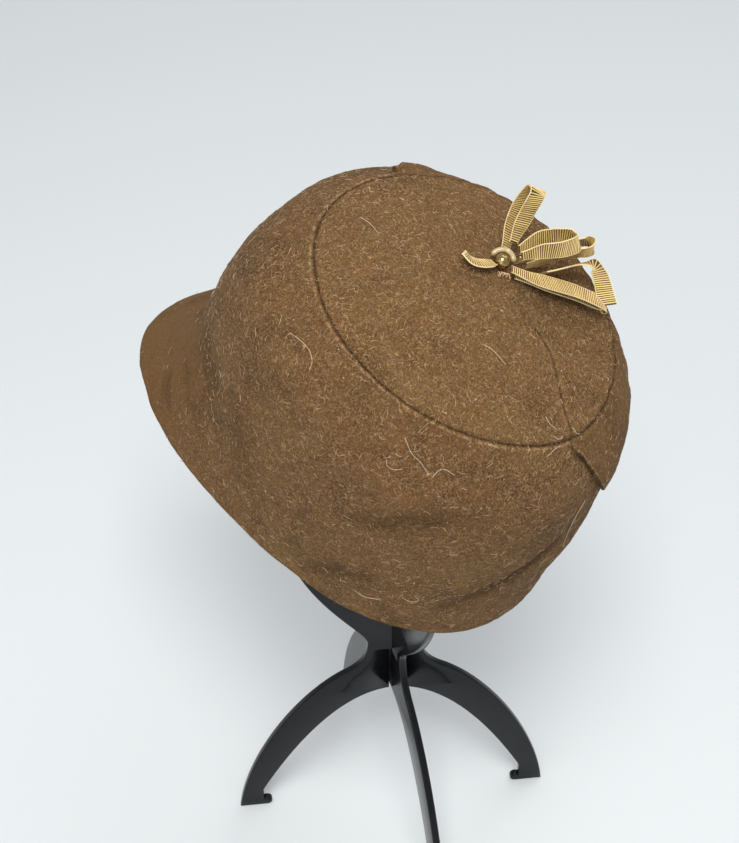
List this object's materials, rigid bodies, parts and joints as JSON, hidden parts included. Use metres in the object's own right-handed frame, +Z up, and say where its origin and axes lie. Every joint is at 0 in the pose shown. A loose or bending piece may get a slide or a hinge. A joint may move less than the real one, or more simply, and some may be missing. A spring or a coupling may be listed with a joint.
{
  "type": "cloche hat on a stand",
  "caption": "Brown felt cloche hat with a short peak, a lapped side panel and a gold ribbon bow, tipped back on a black ribbed stand.",
  "frame": {"origin": "on the surface under the stand's feet, at the middle of the bounding box", "axes": "+Z up; the hat's front points towards -Y and is tipped back, the wearer's left is +X"},
  "size_m": [0.1688, 0.2504, 0.4224],
  "materials": {
    "felt": "brown fur felt, matt, with fine pale fibres",
    "ribbon": "gold ribbed ribbon",
    "wrap": "pale cream wrap",
    "gilt": "polished gilt",
    "stand": "black moulded plastic, semi-gloss"
  },
  "bodies": {
    "root": {"side_wall": "felt", "tip_panel": "felt", "lapped_panel": "felt", "loop_upright": "ribbon", "loop_upper": "ribbon", "loop_middle": "ribbon", "loop_low": "ribbon", "loop_cross": "ribbon", "ribbon_tail": "ribbon", "bead_collar": "wrap", "gilt_bead": "gilt", "rib_plate_a": "stand", "rib_plate_b": "stand"}
  },
  "joints": []
}
